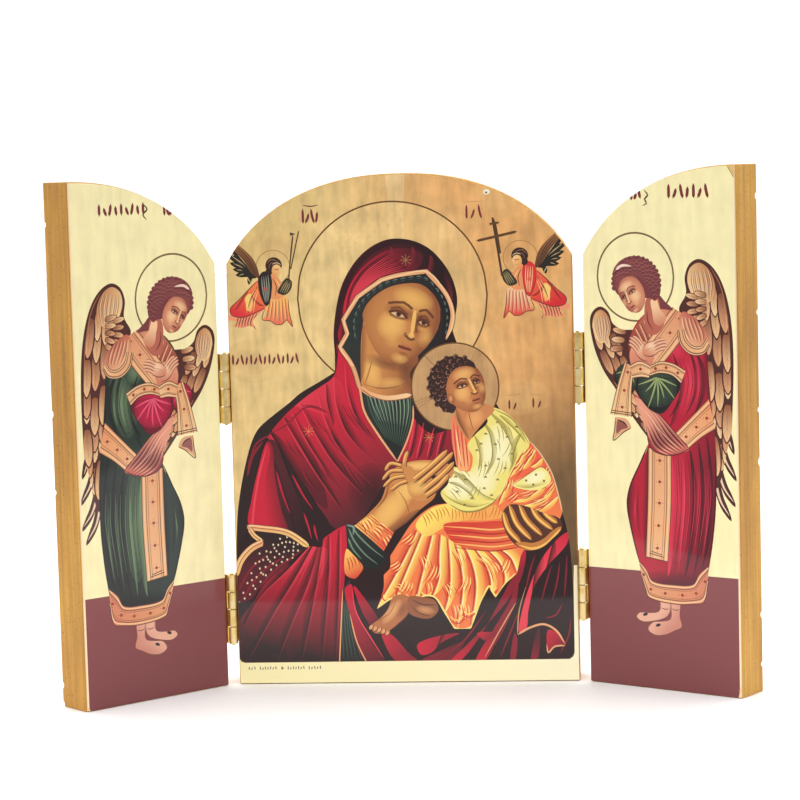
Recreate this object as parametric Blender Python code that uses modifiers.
"""A small standing triptych icon: an arched centre board and two half-arched wings on brass butt hinges.

Metres, +Z up. The front of the centre board faces -Y. The origin is the middle of its underside.
"""

import math

import bmesh
import bpy
from mathutils import Matrix, Vector

MM = 0.001

# The boards: the wings share the centre's height, and together cover its width when closed
BOARD_WIDTH = 97.0 * MM
BOARD_HEIGHT = 144.0 * MM
BOARD_THICKNESS = 11.4 * MM
EDGE_ROUND = 0.3 * MM
MEETING_GAP = 0.5 * MM

# The arched top is part of a flattened round arch that would run on past the board's sides
ARCH_PAST_SIDE = 5.7 * MM
ARCH_RISE = 48.1 * MM
ARCH_FULLNESS = 2.2
ARCH_STEPS = 40

# The printed sheets on the front faces, and the space between them when a wing is shut
PRINT_THICKNESS = 0.3 * MM
PRINT_INSET = 0.3 * MM
SEAT_GAP = 0.3 * MM
CLOSED_GAP = 2.3 * MM

# Brass butt hinges, two on each side
HINGE_LENGTH = 20.0 * MM
HINGE_SHEET = 0.5 * MM
BARREL_RADIUS = 1.25 * MM
LEAF_REACH = 9.0 * MM
LEAF_SPACE = 0.7 * MM
RUNNING_GAP = 0.3 * MM
KNUCKLES = 4
PIN_OVERHANG = 0.4 * MM
ROUND_SIDES = 20

# The countersunk nails, two in each leaf
NAIL_SPACING = 11.0 * MM
NAIL_BACK = 5.4 * MM
NAIL_RADIUS = 0.45 * MM
NAIL_HEAD_RADIUS = 0.95 * MM
NAIL_LENGTH = 6.0 * MM
NAIL_POINT = 1.2 * MM
NAIL_SIDES = 10

# How far each wing stands forward from lying flat beside the centre
LEFT_SWING = math.radians(45.2)
RIGHT_SWING = math.radians(31.7)

# Heights of the hinges' middles: they were fitted by hand, so the two sides differ
LEFT_HINGE_HEIGHTS = (22.0 * MM, 84.8 * MM)
RIGHT_HINGE_HEIGHTS = (27.7 * MM, 88.7 * MM)

# Knocks along the outer back edge of each wing, as height and half length
LEFT_NICKS = (
    (0.0 * MM, 1.7 * MM),
    (5.9 * MM, 1.0 * MM),
    (59.4 * MM, 0.8 * MM),
    (80.9 * MM, 1.1 * MM),
    (132.6 * MM, 0.9 * MM),
)
RIGHT_NICKS = (
    (7.5 * MM, 0.9 * MM),
    (21.2 * MM, 1.0 * MM),
    (63.3 * MM, 1.3 * MM),
    (77.5 * MM, 0.8 * MM),
    (104.0 * MM, 0.8 * MM),
    (135.4 * MM, 1.0 * MM),
)
NICK_DEPTH = 0.6 * MM

# Places worked out from the sizes above
HALF_WIDTH = BOARD_WIDTH / 2
WING_WIDTH = HALF_WIDTH - MEETING_GAP / 2
BOARD_FRONT = -BOARD_THICKNESS / 2
PRINT_PROUD = SEAT_GAP + PRINT_THICKNESS
AXIS_FORWARD = PRINT_PROUD + CLOSED_GAP / 2
AXIS_ASIDE = LEAF_SPACE / 2 + HINGE_SHEET + SEAT_GAP
AXIS_Y = BOARD_FRONT - AXIS_FORWARD
KNUCKLE_PITCH = HINGE_LENGTH / KNUCKLES
KNUCKLE_LENGTH = KNUCKLE_PITCH - RUNNING_GAP
BORE_RADIUS = BARREL_RADIUS - HINGE_SHEET
PIN_RADIUS = BORE_RADIUS - RUNNING_GAP
LEAF_FRONT = BARREL_RADIUS + RUNNING_GAP

OCHRE_PAINT = (0.62, 0.36, 0.10, 1.0)
PRINTED_GOLD = (0.80, 0.66, 0.38, 1.0)
BRASS_COLOUR = (0.82, 0.66, 0.33, 1.0)


def clear_scene():
    for obj in list(bpy.data.objects):
        bpy.data.objects.remove(obj, do_unlink=True)


def new_collection(name):
    collection = bpy.data.collections.new(name)
    bpy.context.scene.collection.children.link(collection)
    return collection


def new_material(name, colour, roughness, metallic):
    made = bpy.data.materials.new(name)
    made.use_nodes = True
    shader = made.node_tree.nodes["Principled BSDF"]
    shader.inputs["Base Color"].default_value = colour
    shader.inputs["Roughness"].default_value = roughness
    shader.inputs["Metallic"].default_value = metallic
    return made


def add_object(name, data, collection, parent=None, location=(0, 0, 0), rotation=(0, 0, 0)):
    obj = bpy.data.objects.new(name, data)
    collection.objects.link(obj)
    obj.parent = parent
    obj.location = location
    obj.rotation_euler = rotation
    return obj


def add_cutter(name, bm, collection, parent=None):
    mesh = bpy.data.meshes.new(name)
    bm.to_mesh(mesh)
    bm.free()
    cutter = add_object(name, mesh, collection, parent)
    cutter.hide_render = True
    cutter.display_type = "WIRE"
    return cutter


def add_boolean(obj, operation, other):
    modifier = obj.modifiers.new(operation.title(), "BOOLEAN")
    modifier.operation = operation
    modifier.object = other


def evaluated_mesh(obj, name):
    """The object's shape with its modifiers applied, as a new mesh."""
    bpy.context.view_layer.update()
    graph = bpy.context.evaluated_depsgraph_get()
    mesh = bpy.data.meshes.new_from_object(obj.evaluated_get(graph))
    mesh.name = name
    return mesh


def shade_round(mesh):
    mesh.shade_smooth()
    mesh.set_sharp_from_angle(angle=math.radians(35))


def arc(radius, start, end, steps):
    angles = [start + (end - start) * step / steps for step in range(steps + 1)]
    return [(radius * math.cos(angle), radius * math.sin(angle)) for angle in angles]


def flat_solid(name, loops, thickness, collection):
    """A closed plate with flat outlines in X and Y, centred on z 0."""
    curve = bpy.data.curves.new(name, "CURVE")
    curve.dimensions = "2D"
    curve.fill_mode = "BOTH"
    curve.extrude = thickness / 2
    for points in loops:
        spline = curve.splines.new("POLY")
        spline.points.add(len(points) - 1)
        for point, (x, y) in zip(spline.points, points):
            point.co = (x, y, 0, 1)
        spline.use_cyclic_u = True
    obj = add_object(name, curve, collection)
    mesh = evaluated_mesh(obj, name)
    bpy.data.objects.remove(obj)
    bm = bmesh.new()
    bm.from_mesh(mesh)
    bmesh.ops.remove_doubles(bm, verts=bm.verts, dist=MM / 10000)
    bmesh.ops.dissolve_limit(bm, angle_limit=math.radians(0.1), verts=bm.verts, edges=bm.edges)
    bm.to_mesh(mesh)
    bm.free()
    return mesh


def arch_height(from_crown):
    """Height of the arched top at a sideways distance from its highest point."""
    share = min(abs(from_crown) / (HALF_WIDTH + ARCH_PAST_SIDE), 1.0)
    drop = 1.0 - (1.0 - share**ARCH_FULLNESS) ** (1.0 / ARCH_FULLNESS)
    return BOARD_HEIGHT - ARCH_RISE * drop


def arched_outline(low, high, crown, inset=0.0):
    """The outline of a board or a print that runs from x low to x high, its arch highest at x crown."""
    left = low + inset
    right = high - inset
    steps = round(ARCH_STEPS * (high - low) / BOARD_WIDTH)
    top = [left + (right - left) * step / steps for step in range(steps + 1)]
    return [(right, inset), (left, inset)] + [(x, arch_height(x - crown) - inset) for x in top]


def standing_plate(name, outline, front, thickness, scratch, material):
    """A flat solid stood upright, its front face at y front."""
    mesh = flat_solid(name, [outline], thickness, scratch)
    mesh.transform(Matrix.Translation((0, front + thickness / 2, 0)) @ Matrix.Rotation(math.pi / 2, 4, "X"))
    mesh.materials.append(material)
    return mesh


def add_board(name, span, crown, front, cutters, groups, material, parent=None):
    """A wooden board with softened edges, less its nail holes and nicks."""
    outline = arched_outline(*span, crown)
    mesh = standing_plate(name, outline, front, BOARD_THICKNESS, groups["scratch"], material)
    board = add_object(name, mesh, groups["triptych"], parent)
    soft = board.modifiers.new("Soft edges", "BEVEL")
    soft.width = EDGE_ROUND
    soft.segments = 2
    soft.limit_method = "ANGLE"
    soft.angle_limit = math.radians(40)
    for cutter in cutters:
        add_boolean(board, "DIFFERENCE", cutter)


def add_print(name, span, crown, board_front, groups, material, parent=None):
    """The printed sheet, just in front of its board."""
    outline = arched_outline(*span, crown, PRINT_INSET)
    front = board_front - PRINT_PROUD
    mesh = standing_plate(name, outline, front, PRINT_THICKNESS, groups["scratch"], material)
    add_object(name, mesh, groups["triptych"], parent)


def along_x(bm, verts, place):
    """Turns a cone made along Z to lie along X, its wide end towards +X, and moves it."""
    bmesh.ops.rotate(bm, verts=verts, cent=(0, 0, 0), matrix=Matrix.Rotation(math.pi / 2, 3, "Y"))
    bmesh.ops.translate(bm, verts=verts, vec=Vector(place))


def add_nail_holes(name, edge, axis_y, heights, groups, parent=None):
    """Cuts the blind holes for the nails in the side of a board at x edge."""
    depth = NAIL_LENGTH - HINGE_SHEET - SEAT_GAP + RUNNING_GAP
    radius = NAIL_RADIUS + RUNNING_GAP
    bm = bmesh.new()
    for height in heights:
        for offset in (-NAIL_SPACING / 2, NAIL_SPACING / 2):
            made = bmesh.ops.create_cone(
                bm, cap_ends=True, segments=NAIL_SIDES, radius1=radius, radius2=radius, depth=2 * depth
            )
            along_x(bm, made["verts"], (edge, axis_y + NAIL_BACK, height + offset))
    return add_cutter(name, bm, groups["cutters"], parent)


def add_nicks(name, edge, back, nicks, groups, parent):
    """Flattened balls that take small bites from a board's outer back edge."""
    bm = bmesh.new()
    for height, half_length in nicks:
        made = bmesh.ops.create_icosphere(bm, subdivisions=2, radius=1.0)
        bmesh.ops.scale(bm, vec=(NICK_DEPTH, 2 * NICK_DEPTH, half_length), verts=made["verts"])
        bmesh.ops.translate(bm, vec=(edge, back, height), verts=made["verts"])
    return add_cutter(name, bm, groups["cutters"], parent)


def knuckle_mesh(scratch):
    """The sheet rolled round the pin, and the tab that joins it to the plate of a leaf on its -X side."""
    near, far = LEAF_SPACE / 2, LEAF_SPACE / 2 + HINGE_SHEET
    tab_end = LEAF_FRONT + HINGE_SHEET
    start = math.pi - math.acos(far / BARREL_RADIUS)
    end = 3 * math.pi - math.acos(near / BARREL_RADIUS)
    outer = arc(BARREL_RADIUS, start, end, ROUND_SIDES) + [(-near, tab_end), (-far, tab_end)]
    bore = arc(BORE_RADIUS, 0, 2 * math.pi, ROUND_SIDES)[:-1]
    return flat_solid("knuckle", [outer, bore], KNUCKLE_LENGTH, scratch)


def leaf_mesh(scratch, material):
    """A hinge leaf on the -X side of the pin: a plate, every second knuckle and two countersunk holes."""
    bm = bmesh.new()
    bmesh.ops.create_cube(bm, size=1.0)
    bmesh.ops.scale(bm, vec=(HINGE_SHEET, LEAF_REACH - LEAF_FRONT, HINGE_LENGTH - RUNNING_GAP), verts=bm.verts)
    plate_x = -(LEAF_SPACE + HINGE_SHEET) / 2
    bmesh.ops.translate(bm, vec=(plate_x, (LEAF_REACH + LEAF_FRONT) / 2, 0), verts=bm.verts)
    leaf = add_cutter("hinge_leaf", bm, scratch)

    rolled = knuckle_mesh(scratch)
    for index in range(1, KNUCKLES, 2):
        height = (index + 0.5) * KNUCKLE_PITCH - HINGE_LENGTH / 2
        add_boolean(leaf, "UNION", add_object("knuckle", rolled, scratch, location=(0, 0, height)))

    flare = (NAIL_HEAD_RADIUS - NAIL_RADIUS) / HINGE_SHEET
    for offset in (-NAIL_SPACING / 2, NAIL_SPACING / 2):
        bm = bmesh.new()
        narrow = NAIL_RADIUS + RUNNING_GAP - flare * HINGE_SHEET
        wide = NAIL_HEAD_RADIUS + RUNNING_GAP + flare * HINGE_SHEET
        made = bmesh.ops.create_cone(
            bm, cap_ends=True, segments=NAIL_SIDES, radius1=narrow, radius2=wide, depth=3 * HINGE_SHEET
        )
        along_x(bm, made["verts"], (plate_x, NAIL_BACK, offset))
        add_boolean(leaf, "DIFFERENCE", add_cutter("countersink", bm, scratch))

    mesh = evaluated_mesh(leaf, "hinge_leaf")
    mesh.materials.clear()
    mesh.materials.append(material)
    shade_round(mesh)
    return mesh


def turned_mesh(name, profile, sides, scratch, material):
    """A solid turned about Z from a profile of (radius, z) that runs down from the axis and back to it."""
    bm = bmesh.new()
    points = [bm.verts.new((radius, 0, z)) for radius, z in profile]
    for upper, lower in zip(points, points[1:]):
        bm.edges.new((upper, lower))
    obj = add_cutter(name, bm, scratch)
    screw = obj.modifiers.new("Screw", "SCREW")
    screw.steps = sides
    screw.render_steps = sides
    screw.use_merge_vertices = True
    screw.merge_threshold = MM / 10000
    mesh = evaluated_mesh(obj, name)
    mesh.materials.append(material)
    shade_round(mesh)
    return mesh


def pin_mesh(scratch, material):
    """A plain pin with slightly domed ends."""
    end = HINGE_LENGTH / 2 + PIN_OVERHANG
    crown = PIN_RADIUS / 4
    upper = [(0, end), (PIN_RADIUS * 0.7, end - crown / 2), (PIN_RADIUS, end - crown)]
    lower = [(radius, -z) for radius, z in reversed(upper)]
    return turned_mesh("hinge_pin", upper + lower, ROUND_SIDES, scratch, material)


def nail_mesh(scratch, material):
    """A countersunk nail, its flat head at z 0 and its point down."""
    profile = [
        (0, 0),
        (NAIL_HEAD_RADIUS, 0),
        (NAIL_RADIUS, -HINGE_SHEET),
        (NAIL_RADIUS, NAIL_POINT - NAIL_LENGTH),
        (0, -NAIL_LENGTH),
    ]
    return turned_mesh("hinge_nail", profile, NAIL_SIDES, scratch, material)


def add_leaf(name, leaf, nail, collection, parent, place, rotation):
    """One leaf and its two nails, which share a seat on the hinge's axis."""
    seat = add_object(f"{name}_seat", None, collection, parent, place, rotation)
    add_object(f"{name}_leaf", leaf, collection, seat)
    for number, offset in enumerate((-NAIL_SPACING / 2, NAIL_SPACING / 2), 1):
        head = (-LEAF_SPACE / 2, NAIL_BACK, offset)
        add_object(f"{name}_nail_{number}", nail, collection, seat, head, (0, math.pi / 2, 0))


def add_hinge(name, side, height, meshes, collection, pivot):
    """One hinge at a side of the centre board: -1 is the left, 1 the right."""
    leaf, pin, nail = meshes
    axis = (side * (HALF_WIDTH + AXIS_ASIDE), AXIS_Y, height)
    plain, turned = (0, 0, 0), (0, math.pi, 0)
    add_object(f"{name}_pin", pin, collection, location=axis)
    add_leaf(f"{name}_centre", leaf, nail, collection, None, axis, plain if side > 0 else turned)
    add_leaf(f"{name}_wing", leaf, nail, collection, pivot, (0, 0, height), turned if side > 0 else plain)


def add_wing(name, side, swing, heights, nicks, meshes, groups, materials):
    """A wing with its print and hinges, on an empty that stands on the hinges' axis."""
    place = (side * (HALF_WIDTH + AXIS_ASIDE), AXIS_Y, 0)
    pivot = add_object(f"{name}_wing_pivot", None, groups["triptych"], None, place, (0, 0, -side * swing))
    inner = side * AXIS_ASIDE
    outer = side * (AXIS_ASIDE + WING_WIDTH)
    crown = side * (AXIS_ASIDE + HALF_WIDTH)
    span = (min(inner, outer), max(inner, outer))
    back = AXIS_FORWARD + BOARD_THICKNESS
    cutters = (
        add_nail_holes(f"{name}_wing_nail_holes", inner, 0, heights, groups, pivot),
        add_nicks(f"{name}_wing_nicks", outer, back, nicks, groups, pivot),
    )
    add_board(f"{name}_wing_board", span, crown, AXIS_FORWARD, cutters, groups, materials["paint"], pivot)
    add_print(f"{name}_wing_print", span, crown, AXIS_FORWARD, groups, materials["print"], pivot)
    for level, height in zip(("lower", "upper"), heights):
        add_hinge(f"{name}_{level}_hinge", side, height, meshes, groups["triptych"], pivot)


def build():
    clear_scene()
    groups = {"triptych": new_collection("triptych_icon"), "cutters": new_collection("cutters")}
    groups["scratch"] = new_collection("scratch")
    materials = {
        "paint": new_material("ochre_paint", OCHRE_PAINT, 0.6, 0.0),
        "print": new_material("print", PRINTED_GOLD, 0.3, 0.0),
        "brass": new_material("brass", BRASS_COLOUR, 0.3, 1.0),
    }
    brass = materials["brass"]
    scratch = groups["scratch"]
    meshes = (leaf_mesh(scratch, brass), pin_mesh(scratch, brass), nail_mesh(scratch, brass))

    span = (-HALF_WIDTH, HALF_WIDTH)
    cutters = (
        add_nail_holes("centre_left_nail_holes", -HALF_WIDTH, AXIS_Y, LEFT_HINGE_HEIGHTS, groups),
        add_nail_holes("centre_right_nail_holes", HALF_WIDTH, AXIS_Y, RIGHT_HINGE_HEIGHTS, groups),
    )
    add_board("centre_board", span, 0, BOARD_FRONT, cutters, groups, materials["paint"])
    add_print("centre_print", span, 0, BOARD_FRONT, groups, materials["print"])
    add_wing("left", -1, LEFT_SWING, LEFT_HINGE_HEIGHTS, LEFT_NICKS, meshes, groups, materials)
    add_wing("right", 1, RIGHT_SWING, RIGHT_HINGE_HEIGHTS, RIGHT_NICKS, meshes, groups, materials)

    for obj in list(scratch.objects):
        bpy.data.objects.remove(obj)
    bpy.data.collections.remove(scratch)


build()
